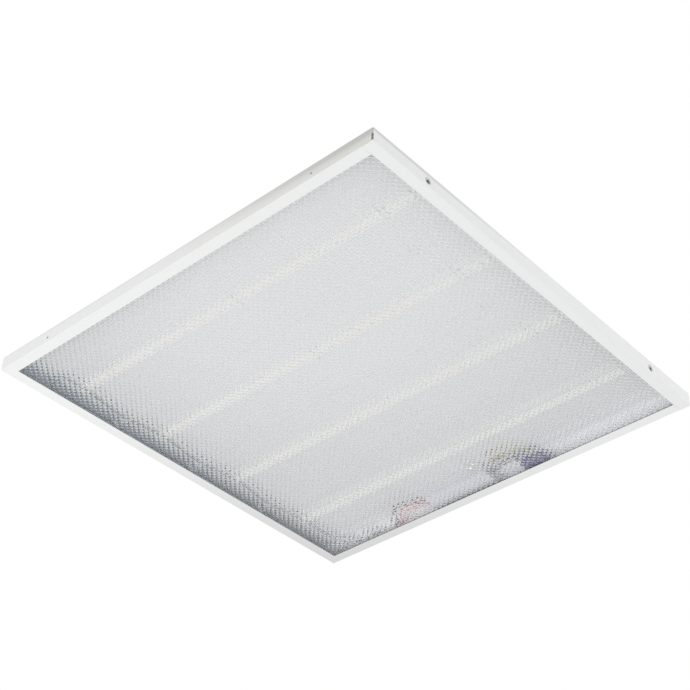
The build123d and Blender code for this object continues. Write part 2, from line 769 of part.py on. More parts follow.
# ---------------------------------------------------------------- saddles over the strip leads
with BuildPart() as lead_saddles:
    channel = 2 * (strip_lead_radius + lead_fit)
    with BuildSketch(Plane.XY.offset(back_inside)):
        with Locations(*[(return_x, y) for y in saddle_y]):
            Rectangle(saddle_width, saddle_length)
        with Locations((wall_saddle_x, plug_y)):
            Rectangle(saddle_length, saddle_width + plug_pitch)
    extrude(amount=saddle_bottom - back_inside)
    chamfer(lead_saddles.faces().group_by(Axis.Z)[0].edges(), plug_chamfer)
    with BuildSketch(Plane.XY.offset(back_inside)):
        with Locations(*[(return_x, y) for y in saddle_y]):
            Rectangle(channel, saddle_length)
        with Locations((wall_saddle_x, plug_near_y), (wall_saddle_x, plug_far_y)):
            Rectangle(saddle_length, channel)
    extrude(amount=strip_lead_z - channel / 2 - back_inside, mode=Mode.SUBTRACT)
lead_saddles.part.label = "lead_saddles"
export_step(lead_saddles.part, "parts/lead_saddles.step")

# ---------------------------------------------------------------- leads
# routes are chosen by hand between their two fixed ends
inside_driver_low = driver_low_x + driver_wall + lead_reach
inside_driver_high = driver_high_x - driver_wall - lead_reach
inside_plug = plug_x - lead_insertion
inside_socket = socket_face_x + lead_insertion
inside_terminal = entry_face_y + terminal_insertion

driver_lead_black = tube_along(
    [
        (inside_driver_low, black_y, driver_lead_z),
        (driver_low_x - 11.0, black_y, driver_lead_z),
        (driver_low_x - 34.0, black_y - 24.0, driver_lead_z - 9.0),
        (driver_low_x - 53.0, black_y - 20.0, driver_lead_z - 8.0),
        (plug_x + 12.0, plug_near_y, strip_lead_z),
        (inside_plug, plug_near_y, strip_lead_z),
    ],
    lead_radius,
    "driver_lead_black",
)
driver_lead_black.part.label = "driver_lead_black"
export_step(driver_lead_black.part, "parts/driver_lead_black.step")

driver_lead_red = tube_along(
    [
        (inside_driver_low, red_y, driver_lead_z),
        (driver_low_x - 13.0, red_y, driver_lead_z),
        (driver_low_x - 40.0, red_y - 18.0, driver_lead_z - 8.0),
        (plug_x + 18.0, plug_far_y, strip_lead_z),
        (inside_plug, plug_far_y, strip_lead_z),
    ],
    lead_radius,
    "driver_lead_red",
)
driver_lead_red.part.label = "driver_lead_red"
export_step(driver_lead_red.part, "parts/driver_lead_red.step")

mains_lead_brown = tube_along(
    [
        (pole_x[0], inside_terminal, lower_entry_z),
        (pole_x[0], entry_face_y - 10.0, lower_entry_z),
        (pole_x[0] - 19.0, entry_face_y - 14.0, lower_entry_z - 2.5),
        (driver_high_x + 11.0, brown_y, driver_lead_z),
        (inside_driver_high, brown_y, driver_lead_z),
    ],
    lead_radius,
    "mains_lead_brown",
)
mains_lead_brown.part.label = "mains_lead_brown"
export_step(mains_lead_brown.part, "parts/mains_lead_brown.step")

mains_lead_blue = tube_along(
    [
        (pole_x[1], inside_terminal, lower_entry_z),
        (pole_x[1], entry_face_y - 15.0, lower_entry_z),
        (pole_x[1] - 27.0, entry_face_y - 21.0, lower_entry_z - 3.0),
        (driver_high_x + 11.0, blue_y, driver_lead_z),
        (inside_driver_high, blue_y, driver_lead_z),
    ],
    lead_radius,
    "mains_lead_blue",
)
mains_lead_blue.part.label = "mains_lead_blue"
export_step(mains_lead_blue.part, "parts/mains_lead_blue.step")

earth_lead = tube_along(
    [
        (pole_x[2], inside_terminal, lower_entry_z),
        (pole_x[2], entry_face_y - 20.0, lower_entry_z),
        (crimp_x + 24.0, earth_y, lug_lead_z),
        (crimp_x + inner_gap, earth_y, lug_lead_z),
    ],
    lead_radius,
    "earth_lead",
)
earth_lead.part.label = "earth_lead"
export_step(earth_lead.part, "parts/earth_lead.step")

feed_lead = tube_along(
    [
        (inside_socket, plug_near_y, strip_lead_z),
        (connector_x, plug_near_y, strip_lead_z),
        (connector_x, strip_y[-1] + connector_end, strip_lead_z),
    ],
    strip_lead_radius,
    "feed_lead",
)
feed_lead.part.label = "feed_lead"
export_step(feed_lead.part, "parts/feed_lead.step")

return_lead = tube_along(
    [
        (inside_socket, plug_far_y, strip_lead_z),
        (return_x, plug_far_y, strip_lead_z),
        (return_x, strip_y[0] - return_loop, strip_lead_z),
        (connector_x, strip_y[0] - return_loop, strip_lead_z),
        (connector_x, strip_y[0] - connector_end, strip_lead_z),
    ],
    strip_lead_radius,
    "return_lead",
)
return_lead.part.label = "return_lead"
export_step(return_lead.part, "parts/return_lead.step")

for number, (low_y, high_y) in enumerate(zip(strip_y, strip_y[1:]), start=1):
    jumper_lead = tube_along(
        [
            (connector_x, low_y + connector_end, strip_lead_z),
            (connector_x, low_y + jumper_straight, strip_lead_z),
            (connector_x - jumper_bow, (low_y + high_y) / 2, strip_lead_z),
            (connector_x, high_y - jumper_straight, strip_lead_z),
            (connector_x, high_y - connector_end, strip_lead_z),
        ],
        strip_lead_radius,
        f"jumper_lead_{number}",
    )
    jumper_lead.part.label = f"jumper_lead_{number}"
    export_step(jumper_lead.part, f"parts/jumper_lead_{number}.step")
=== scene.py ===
import json

import bpy
import numpy as np
from mathutils import Matrix, Vector

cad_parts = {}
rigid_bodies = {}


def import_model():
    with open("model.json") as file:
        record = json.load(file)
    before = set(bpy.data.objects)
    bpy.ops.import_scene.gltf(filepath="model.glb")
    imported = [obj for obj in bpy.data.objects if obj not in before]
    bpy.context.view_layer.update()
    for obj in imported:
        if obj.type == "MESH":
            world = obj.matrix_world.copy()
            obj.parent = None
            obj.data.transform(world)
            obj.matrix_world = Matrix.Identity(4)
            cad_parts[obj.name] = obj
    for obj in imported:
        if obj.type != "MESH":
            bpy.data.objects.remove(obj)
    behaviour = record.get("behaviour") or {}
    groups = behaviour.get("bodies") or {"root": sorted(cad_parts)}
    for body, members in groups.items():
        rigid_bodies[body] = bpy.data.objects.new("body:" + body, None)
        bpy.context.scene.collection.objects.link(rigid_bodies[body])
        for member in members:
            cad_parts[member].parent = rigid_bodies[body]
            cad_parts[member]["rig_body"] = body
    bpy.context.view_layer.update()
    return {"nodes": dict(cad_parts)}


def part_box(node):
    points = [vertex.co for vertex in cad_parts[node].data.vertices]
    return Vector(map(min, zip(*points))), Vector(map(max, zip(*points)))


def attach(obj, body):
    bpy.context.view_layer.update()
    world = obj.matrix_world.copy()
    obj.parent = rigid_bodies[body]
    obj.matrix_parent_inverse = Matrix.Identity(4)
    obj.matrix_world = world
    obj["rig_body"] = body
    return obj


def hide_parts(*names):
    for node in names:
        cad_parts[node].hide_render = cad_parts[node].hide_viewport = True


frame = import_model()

nodes = frame["nodes"]
mm = 0.001          # rows, routes and prisms are given in millimetres, all else in metres


# Shader nodes that the studio and the finishes share.

def newNode(tree, kind, **inputs):        # one shader node with some of its sockets set
    node = tree.nodes.new(kind)
    for socket, value in inputs.items():
        node.inputs[socket.replace("_", " ")].default_value = value
    return node


def maths(tree, operation, first, second=0.0):        # one maths node on sockets or numbers
    node = tree.nodes.new("ShaderNodeMath")
    node.operation = operation
    for socket, value in zip(node.inputs, (first, second)):
        if isinstance(value, (int, float)):
            socket.default_value = value
        else:
            tree.links.new(value, socket)
    return node.outputs["Value"]


def both(tree, first, second):        # 1 where both are 1
    return maths(tree, "MULTIPLY", first, second)


def nearZero(tree, value, half):        # 1 where the value lies within the half on both sides of zero
    return maths(tree, "LESS_THAN", maths(tree, "ABSOLUTE", value), half)


def ramp(tree, value, start, end):        # 0 at start, 1 at end, soft between
    node = tree.nodes.new("ShaderNodeMapRange")
    node.interpolation_type = "SMOOTHSTEP"
    node.inputs["From Min"].default_value = min(start, end)
    node.inputs["From Max"].default_value = max(start, end)
    node.inputs["To Min"].default_value = 0.0 if start < end else 1.0
    node.inputs["To Max"].default_value = 1.0 if start < end else 0.0
    tree.links.new(value, node.inputs["Value"])
    return node.outputs["Result"]


def mixTones(tree, amount, first, second, blendType="MIX"):
    # the first tone where the amount is 0, the second where it is 1; each a colour or a socket
    node = tree.nodes.new("ShaderNodeMix")
    node.data_type = "RGBA"
    node.blend_type = blendType
    tree.links.new(amount, node.inputs["Factor"])
    for side, tone in (("A", first), ("B", second)):
        if isinstance(tone, tuple):
            node.inputs[side].default_value = (*tone, 1)
        else:
            tree.links.new(tone, node.inputs[side])
    return node.outputs["Result"]


def shade(tree, color, amount, tone):        # multiplies a colour by a tone where the amount is 1
    tone = tone if isinstance(tone, tuple) else (tone, tone, tone)
    return mixTones(tree, amount, color, tone, "MULTIPLY")


# Studio: camera, lamps, floor and the white behind.

studio = {
    "cameraPlace": (1.035486, -1.117156, -1.134679),        # below the light, looking up at its face
    "cameraRight": (0.759310, 0.650700, 0.006590),
    "cameraForward": (-0.513920, 0.593430, 0.619460),
    "cameraReach": 60,
    "focalPixels": 1557.444,
    "principalPixel": (392.411, 345.802),
    "framePixels": 690,
    "sensorWidth": 36.0,
    "floorHeight": -2.75,
    "floorSize": 80.0,
    "floorTone": (0.81, 0.81, 0.81),
    "floorShown": (0.96, 0.96, 0.955),        # where the camera looks at it
    "floorRoughness": 0.9,
    "surroundTone": (0.99, 1.0, 1.0),
    "surroundStrength": 0.86,
    "whiteStrength": 1.0,
    "lightTurns": 40,        # light turns many times inside the prisms
}

softLamps = (
    {"name": "lampBelow", "place": (-0.9, -1.2, -2.0), "size": 1.8, "watts": 17.0},
    {"name": "lampLeft", "place": (-2.4, -1.7, -0.7), "size": 1.6, "watts": 14.0},
    {"name": "lampRight", "place": (1.9, 1.6, -0.5), "size": 1.4, "watts": 10.0},
)


def buildCamera(s):
    cameraData = bpy.data.cameras.new("photoCamera")
    camera = bpy.data.objects.new("photoCamera", cameraData)
    bpy.context.scene.collection.objects.link(camera)
    forward = Vector(s["cameraForward"]).normalized()
    right = Vector(s["cameraRight"]).normalized()
    up = right.cross(forward).normalized()
    right = forward.cross(up)
    turn = Matrix((right, up, -forward)).transposed()
    camera.matrix_world = Matrix.Translation(s["cameraPlace"]) @ turn.to_4x4()
    cameraData.sensor_width = s["sensorWidth"]
    cameraData.lens = s["focalPixels"] * s["sensorWidth"] / s["framePixels"]
    middle = s["framePixels"] / 2
    cameraData.shift_x = -(s["principalPixel"][0] - middle) / s["framePixels"]
    cameraData.shift_y = (s["principalPixel"][1] - middle) / s["framePixels"]
    cameraData.clip_end = s["cameraReach"]
    bpy.context.scene.camera = camera


def buildSurround(s):
    # soft grey light from all round, and plain white where the camera, the gloss or the prisms look
    world = bpy.data.worlds.new("surround")
    bpy.context.scene.world = world
    world.use_nodes = True
    tree = world.node_tree
    tree.nodes.clear()
    light = newNode(tree, "ShaderNodeBackground", Strength=s["surroundStrength"])
    light.inputs["Color"].default_value = (*s["surroundTone"], 1)
    white = newNode(tree, "ShaderNodeBackground", Strength=s["whiteStrength"])
    white.inputs["Color"].default_value = (1, 1, 1, 1)
    rays = newNode(tree, "ShaderNodeLightPath").outputs
    looked = maths(tree, "MAXIMUM", rays["Is Camera Ray"], rays["Is Transmission Ray"])
    mix = newNode(tree, "ShaderNodeMixShader")
    tree.links.new(maths(tree, "MAXIMUM", looked, rays["Is Glossy Ray"]), mix.inputs["Fac"])
    tree.links.new(light.outputs["Background"], mix.inputs[1])
    tree.links.new(white.outputs["Background"], mix.inputs[2])
    out = newNode(tree, "ShaderNodeOutputWorld")
    tree.links.new(mix.outputs["Shader"], out.inputs["Surface"])


def buildLamp(lamp):
    lampData = bpy.data.lights.new(lamp["name"], "AREA")
    lampData.shape = "DISK"
    lampData.size = lamp["size"]
    lampData.energy = lamp["watts"]
    lampObject = bpy.data.objects.new(lamp["name"], lampData)
    bpy.context.scene.collection.objects.link(lampObject)
    lampObject.location = lamp["place"]
    lampObject.rotation_euler = (-Vector(lamp["place"])).to_track_quat("-Z", "Y").to_euler()
    lampObject.visible_transmission = False        # prisms and gloss show the room, not the lamps
    lampObject.visible_glossy = False


def buildFloor(s):
    half = s["floorSize"] / 2
    z = s["floorHeight"]
    floorMesh = bpy.data.meshes.new("floor")
    corners = [(-half, -half, z), (half, -half, z), (half, half, z), (-half, half, z)]
    floorMesh.from_pydata(corners, [], [(0, 1, 2, 3)])
    floor = bpy.data.objects.new("floor", floorMesh)
    bpy.context.scene.collection.objects.link(floor)
    floorPaint = bpy.data.materials.new("floorPaint")
    floorPaint.use_nodes = True
    tree = floorPaint.node_tree
    shader = tree.nodes["Principled BSDF"]
    shader.inputs["Roughness"].default_value = s["floorRoughness"]
    rays = newNode(tree, "ShaderNodeLightPath").outputs
    tone = mixTones(tree, rays["Is Camera Ray"], s["floorTone"], s["floorShown"])
    tree.links.new(tone, shader.inputs["Base Color"])
    floorMesh.materials.append(floorPaint)


bpy.context.scene.view_settings.view_transform = "Standard"
for kind in ("max", "glossy", "transmission"):
    setattr(bpy.context.scene.cycles, kind + "_bounces", studio["lightTurns"])
buildCamera(studio)
buildSurround(studio)
for lamp in softLamps:
    buildLamp(lamp)
buildFloor(studio)
print("studio is up")


# Finishes: every colour but the clear sheet's is broken by a fine grain and a broad drift of tone.

grain = {
    "plain": (900.0, 0.00002, 0.03),        # scale of the fine noise, its height, and the drift either way
    "fineDetail": 3.0,
    "fineRoughness": 0.55,
    "bumpStrength": 0.6,
    "broadShare": 0.02,        # the broad noise's scale as a share of the fine one's
    "broadDetail": 2.0,
}


def startFinish(name, s):        # a new material, and the node that gives it the piece's own coordinates
    finish = bpy.data.materials.new(name)
    finish.use_nodes = True
    tree = finish.node_tree
    shader = tree.nodes["Principled BSDF"]
    shader.inputs["Base Color"].default_value = (*s["color"], 1)
    shader.inputs["Roughness"].default_value = s["roughness"]
    shader.inputs["Metallic"].default_value = s.get("metallic", 0.0)
    place = newNode(tree, "ShaderNodeTexCoord")
    return finish, tree, shader, place


def addGrain(tree, shader, place, s):
    # fine noise lifts the surface; a broad noise moves its tone, which is returned and not yet linked
    scale, height, drift = s.get("grain", grain["plain"])
    fine = newNode(tree, "ShaderNodeTexNoise", Scale=scale, Detail=grain["fineDetail"],
                   Roughness=grain["fineRoughness"])
    tree.links.new(place.outputs["Object"], fine.inputs["Vector"])
    bump = newNode(tree, "ShaderNodeBump", Strength=grain["bumpStrength"], Distance=height)
    tree.links.new(fine.outputs["Fac"], bump.inputs["Height"])
    tree.links.new(bump.outputs["Normal"], shader.inputs["Normal"])
    broad = newNode(tree, "ShaderNodeTexNoise", Scale=scale * grain["broadShare"],
                    Detail=grain["broadDetail"])
    tree.links.new(place.outputs["Object"], broad.inputs["Vector"])
    darker = tuple(c * (1 - drift) for c in s["color"])
    lighter = tuple(min(1, c * (1 + drift)) for c in s["color"])
    return mixTones(tree, broad.outputs["Fac"], darker, lighter)


def plainFinish(name, s):
    finish, tree, shader, place = startFinish(name, s)
    tree.links.new(addGrain(tree, shader, place, s), shader.inputs["Base Color"])
    return finish


def splitPlace(tree, place, space="Object"):        # the object's own x, y and z, or its normal's, as sockets
    axes = newNode(tree, "ShaderNodeSeparateXYZ")
    tree.links.new(place.outputs[space], axes.inputs["Vector"])
    return [axes.outputs[axis] for axis in "XYZ"]


def dress(finish, *names):        # a finish on CAD nodes that keep their own shape
    for name in names:
        slots = nodes[name].data.materials
        slots.clear()
        slots.append(finish)


# Housing and end strip: a white coat, with painted light and shade that change slowly by place.

powderWhiteWithPaintedShade = {
    "color": (0.86, 0.865, 0.855),
    "roughness": 0.42,
    "grain": (1400.0, 0.00003, 0.012),        # orange peel
    "outerFace": 0.2972,        # the outer walls lie beyond this, the chamber within it
    "rimTop": 0.0007,        # the rim lies below this height, the chamber above it
    "backFace": 0.0187,        # and the chamber lies below this one
    "paintedWallShade": 0.93,        # painted shade on the -Y wall, which is turned from the light
    "foldLine": (0.0158, 0.0105),        # a band of painted shade along its upper fold starts at these heights, at the far and near ends
    "foldRun": (0.30, 0.02),        # and climbs from the one to the other between these places
    "foldEdge": (-0.0006, 0.0010),        # with a soft edge of this width
    "paintedFoldShade": 0.93,
    "cornerRun": (-0.05, 0.33),        # painted shade darkens it towards its near end, more so along its upper edge
    "paintedCornerShade": (0.875, 0.86, 0.84),
    "cornerRise": (0.003, 0.014),
    "paintedCornerUpperShade": 0.80,
    "stripRun": (0.02, -0.25),        # painted shade darkens the end strip's upper fold towards the same corner
    "stripRise": (0.0125, 0.0155),
    "paintedStripShade": 0.80,
    "rimReach": (0.04, 0.64),        # painted shade dims the rim towards the corner between -X and +Y
    "paintedRimShade": 0.80,
    "backTilt": 0.1,        # faces that look up more than this, above this height, are the back's outside
    "backLow": 0.012,
    # painted shade over the chamber, away from the +Y side
    "paintedChamberShade": 0.93,
    "fadeMiddle": (0.08, -0.14),        # painted light: the chamber is brightest here, and painted shade dims it outwards
    "fadeReach": (0.10, 0.42),
    "paintedFalloffShade": 0.86,
    "brightReach": (0.262, 0.276),        # but not along the +Y side, which gets a paler painted light tone instead
    "paintedLightTone": (0.97, 0.97, 0.985),
    "leftReach": (-0.274, -0.290),        # painted shade under the rim of the -X side, where hardly any light comes in
    "leftSlant": 0.034,
    "paintedLeftShade": (0.72, 0.78, 0.86),
    "nearReach": (0.266, 0.288),        # a narrow band of painted shade along the +X and -Y sides
    "paintedNearShade": 0.86,
}


def paintWallShade(tree, color, axes, s):        # painted shade on the outer wall of the -Y side, then on the end strip's
    x, y, z = axes
    wall = maths(tree, "LESS_THAN", y, -s["outerFace"])
    farHeight, nearHeight = s["foldLine"]
    # painted shade in a band along the -Y wall's upper fold
    climb = maths(tree, "MULTIPLY", ramp(tree, x, *s["foldRun"]), farHeight - nearHeight)
    overLine = maths(tree, "SUBTRACT", z, maths(tree, "ADD", climb, nearHeight))
    color = shade(tree, color, both(tree, ramp(tree, overLine, *s["foldEdge"]), wall), s["paintedFoldShade"])
    # painted shade over the whole -Y outer wall
    color = shade(tree, color, wall, s["paintedWallShade"])
    # painted shade towards the -Y wall's near end, deeper along its upper edge
    nearEnd = both(tree, wall, ramp(tree, x, *s["cornerRun"]))
    color = shade(tree, color, nearEnd, s["paintedCornerShade"])
    color = shade(tree, color, both(tree, nearEnd, ramp(tree, z, *s["cornerRise"])), s["paintedCornerUpperShade"])
    # painted shade on the end strip's upper fold
    strip = both(tree, maths(tree, "GREATER_THAN", x, s["outerFace"]), ramp(tree, y, *s["stripRun"]))
    return shade(tree, color, both(tree, strip, ramp(tree, z, *s["stripRise"])), s["paintedStripShade"])


def paintRimShade(tree, color, axes, s):        # painted shade: the rim dims as y gets ahead of x
    x, y, z = axes
    rim = maths(tree, "LESS_THAN", z, s["rimTop"])
    away = maths(tree, "SUBTRACT", y, x)
    return shade(tree, color, both(tree, rim, ramp(tree, away, *s["rimReach"])), s["paintedRimShade"])


def chamberMask(tree, place, axes, s):        # 1 inside the housing, 0 on the rim and all outer faces
    x, y, z = axes
    underBack = maths(tree, "LESS_THAN", z, s["backFace"])
    overRim = maths(tree, "GREATER_THAN", z, s["rimTop"])
    walled = both(tree, nearZero(tree, x, s["outerFace"]), nearZero(tree, y, s["outerFace"]))
    inside = both(tree, both(tree, underBack, overRim), walled)
    lookingUp = maths(tree, "GREATER_THAN", splitPlace(tree, place, "Normal")[2], s["backTilt"])
    back = both(tree, lookingUp, maths(tree, "GREATER_THAN", z, s["backLow"]))
    return both(tree, inside, maths(tree, "SUBTRACT", 1.0, back))


def paintChamberLightAndShade(tree, color, inside, axes, s):
    # painted light along +Y; elsewhere painted shade, dimmer with distance from the brightest place, and more
    # painted shade at the other sides
    x, y = axes[:2]
    bright = both(tree, inside, ramp(tree, y, *s["brightReach"]))
    color = mixTones(tree, bright, color, s["paintedLightTone"])
    dimmed = maths(tree, "SUBTRACT", inside, bright)
    color = shade(tree, color, dimmed, s["paintedChamberShade"])
    squares = [maths(tree, "POWER", maths(tree, "SUBTRACT", axis, middle), 2.0)
               for axis, middle in zip((x, y), s["fadeMiddle"])]
    away = maths(tree, "POWER", maths(tree, "ADD", *squares), 0.5)
    color = shade(tree, color, both(tree, dimmed, ramp(tree, away, *s["fadeReach"])), s["paintedFalloffShade"])
    slanted = maths(tree, "ADD", x, maths(tree, "MULTIPLY", y, s["leftSlant"]))
    color = shade(tree, color, both(tree, inside, ramp(tree, slanted, *s["leftReach"])), s["paintedLeftShade"])
    nearness = maths(tree, "MAXIMUM", x, maths(tree, "MULTIPLY", y, -1.0))
    return shade(tree, color, both(tree, inside, ramp(tree, nearness, *s["nearReach"])), s["paintedNearShade"])


# the white coat plus painted shade on the outer walls and rim, and painted light and shade in the chamber
def powderFinish(s):
    finish, tree, shader, place = startFinish("powderWhiteWithPaintedShade", s)
    color = addGrain(tree, shader, place, s)
    axes = splitPlace(tree, place)
    color = paintWallShade(tree, color, axes, s)
    color = paintRimShade(tree, color, axes, s)
    color = paintChamberLightAndShade(tree, color, chamberMask(tree, place, axes, s), axes, s)
    tree.links.new(color, shader.inputs["Base Color"])
    return finish


dress(powderFinish(powderWhiteWithPaintedShade), "housing_tray", "end_strip")
print("housing is coated")


def addPiece(name, points, faces, finish, body):
    mesh = bpy.data.meshes.new(name)
    mesh.from_pydata(points.tolist(), [], faces)
    mesh.materials.append(finish)
    mesh.update()
    piece = bpy.data.objects.new(name, mesh)
    bpy.context.scene.collection.objects.link(piece)
    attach(piece, body)
    return piece


# Prismatic sheet, which stands in for the flat CAD sheet.

prismSheet = {
    "cellsAlongSide": 138,        # tips and valleys alternate, so the pyramids stand turned by 45 degrees
    "prismHeight": 0.95 * mm,
    "color": (0.95, 0.955, 0.975),
    "roughness": 0.03,
    "clear": 1.0,
    "refraction": 1.49,
    "edgeStart": (0.2822, 0.2827),        # painted shadow on a narrow line along the rim of the +Y side
    "edgeEnd": (0.2860, 0.2850),
    "paintedEdgeShadow": 0.12,
}


def sheetPoints(low, high, s):
    # point (i, j) of a square grid is a tip at full height where i + j is odd, and a valley elsewhere
    count = s["cellsAlongSide"] + 1
    x, y = np.meshgrid(np.linspace(low.x, high.x, count), np.linspace(low.y, high.y, count), indexing="ij")
    i, j = np.meshgrid(np.arange(count), np.arange(count), indexing="ij")
    z = np.where((i + j) % 2 == 1, high.z, high.z - s["prismHeight"])
    return np.stack([x, y, z], axis=-1).reshape(-1, 3), count


def sheetFaces(count):
    # each square of the grid is split along the diagonal that joins its two valleys
    i, j = np.meshgrid(np.arange(count - 1), np.arange(count - 1), indexing="ij")
    a = (i * count + j).ravel()
    b, c, d = a + 1, a + count + 1, a + count
    even = ((i + j) % 2 == 0).ravel()
    first = np.where(even[:, None], np.stack([c, b, a], -1), np.stack([d, b, a], -1))
    second = np.where(even[:, None], np.stack([d, c, a], -1), np.stack([d, c, b], -1))
    return np.concatenate([first, second])


def sheetFinish(s):
    finish, tree, shader, place = startFinish("prismClear", s)
    shader.inputs["Transmission Weight"].default_value = s["clear"]
    shader.inputs["IOR"].default_value = s["refraction"]
    y = splitPlace(tree, place)[1]
    # painted shadow in the sheet's colour along the +Y rim
    margin = both(tree, ramp(tree, y, *s["edgeStart"]), ramp(tree, y, *s["edgeEnd"]))
    shadow = tuple(s["paintedEdgeShadow"] * c for c in s["color"])
    tree.links.new(mixTones(tree, margin, s["color"], shadow), shader.inputs["Base Color"])
    return finish


def buildSheet(s):
    # the grid's border is carried down to the flat side, and one face closes it there
    low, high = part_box("diffuser")
    points, count = sheetPoints(low, high, s)
    grid = np.arange(count * count).reshape(count, count)
    border = np.concatenate([grid[0, :-1], grid[:-1, -1], grid[-1, :0:-1], grid[:0:-1, 0]])
    below = points[border].copy()
    below[:, 2] = low.z
    lower = np.arange(len(border)) + len(points)
    following = np.roll(np.arange(len(border)), -1)
    sides = np.stack([border[following], lower[following], lower, border], axis=-1)
    faces = sheetFaces(count).tolist() + sides.tolist() + [lower.tolist()]
    piece = addPiece("prismSheet", np.concatenate([points, below]), faces, sheetFinish(s), "diffuser")
    piece.visible_shadow = False
    piece.visible_diffuse = False
    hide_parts("diffuser")
    return piece


sheetPiece = buildSheet(prismSheet)
print("prismatic sheet:", len(sheetPiece.data.polygons), "faces")


# End screws: bright heads with painted shade in and around the cross recess, and a painted shadow of their
# dimples on the lower part.

endScrews = {
    "color": (0.80, 0.80, 0.78),
    "roughness": 0.28,
    "metallic": 0.7,
    "grain": (2500.0, 0.00001, 0.05),
    "spot": (0.210, 0.0074),        # distance from the middle, and height
    "armHalf": (0.0007, 0.0021),        # half the width and length of the painted shade on the cross recess, wider than the recess itself
    "paintedRecessShade": 0.04,
    "shadedBelow": (-0.0004, -0.0012),        # painted shadow of the dimple's lip on the head's lower part
    "paintedLipShadow": 0.22,
}


def screwFinish(s):
    finish, tree, shader, place = startFinish("screwNickel", s)
    color = addGrain(tree, shader, place, s)
    y, z = splitPlace(tree, place)[1:]
    aside = maths(tree, "SUBTRACT", maths(tree, "ABSOLUTE", y), s["spot"][0])
    above = maths(tree, "SUBTRACT", z, s["spot"][1])
    narrow, long = s["armHalf"]
    flat = both(tree, nearZero(tree, aside, long), nearZero(tree, above, narrow))
    upright = both(tree, nearZero(tree, aside, narrow), nearZero(tree, above, long))
    # painted shadow of the dimple's lip
    color = shade(tree, color, ramp(tree, above, *s["shadedBelow"]), s["paintedLipShadow"])
    # painted shade in and around the cross recess
    color = shade(tree, color, maths(tree, "MAXIMUM", flat, upright), s["paintedRecessShade"])
    tree.links.new(color, shader.inputs["Base Color"])
    return finish


dress(screwFinish(endScrews), "end_strip_screws")
print("screws are dressed")


# Light strips: white boards with copper under the mask and bright pads, and chips with a yellow window.

lightStrips = {
    "rows": (-198.0, -66.0, 66.0, 198.0),        # millimetres
    "pitch": 0.0184,
    "pitchesAhead": 100,        # added before the remainder is taken, so that it is never negative
    "board": {"color": (0.90, 0.885, 0.865), "roughness": 0.4, "grain": (1800.0, 0.00001, 0.01)},
    "traceReach": (0.0030, 0.0058),        # copper lies between these distances from the row's middle
    "traceShade": (0.95, 0.93, 0.88),
    "padReach": (0.00175, 0.0027),
    "padWidth": 0.0011,
    "padColor": (0.62, 0.62, 0.60),
    "chip": {"color": (0.91, 0.895, 0.86), "roughness": 0.35, "grain": (3000.0, 0.00001, 0.02)},
    "windowHalf": (0.00135, 0.0010),
    "windowColor": (0.93, 0.80, 0.50),
}


def chipPlace(tree, place, s, row):        # distance from the nearest chip's middle, along and across the row
    x, y = splitPlace(tree, place)[:2]
    ahead = maths(tree, "ADD", x, s["pitchesAhead"] * s["pitch"])
    along = maths(tree, "SUBTRACT", maths(tree, "MODULO", ahead, s["pitch"]), s["pitch"] / 2)
    return along, maths(tree, "SUBTRACT", y, s["rows"][row - 1] * mm)


def between(tree, value, near, far):        # 1 where the distance from zero lies between near and far
    return maths(tree, "SUBTRACT", nearZero(tree, value, far), nearZero(tree, value, near))


def boardFinish(s, row):
    finish, tree, shader, place = startFinish(f"boardWhite{row}", s["board"])
    color = addGrain(tree, shader, place, s["board"])
    along, across = chipPlace(tree, place, s, row)
    color = shade(tree, color, between(tree, across, *s["traceReach"]), s["traceShade"])
    pads = both(tree, between(tree, along, *s["padReach"]), nearZero(tree, across, s["padWidth"]))
    tree.links.new(mixTones(tree, pads, color, s["padColor"]), shader.inputs["Base Color"])
    return finish


def chipFinish(s, row):
    finish, tree, shader, place = startFinish(f"chipResin{row}", s["chip"])
    color = addGrain(tree, shader, place, s["chip"])
    along, across = chipPlace(tree, place, s, row)
    halfLength, halfWidth = s["windowHalf"]
    window = both(tree, nearZero(tree, along, halfLength), nearZero(tree, across, halfWidth))
    tree.links.new(mixTones(tree, window, color, s["windowColor"]), shader.inputs["Base Color"])
    return finish


for row in range(1, len(lightStrips["rows"]) + 1):
    dress(boardFinish(lightStrips, row), f"led_strip_{row}")
    dress(chipFinish(lightStrips, row), f"led_chips_{row}")
print("strips are dressed")


# Fittings that keep their CAD shape; a name that ends in an underscore goes with each of the numbers.

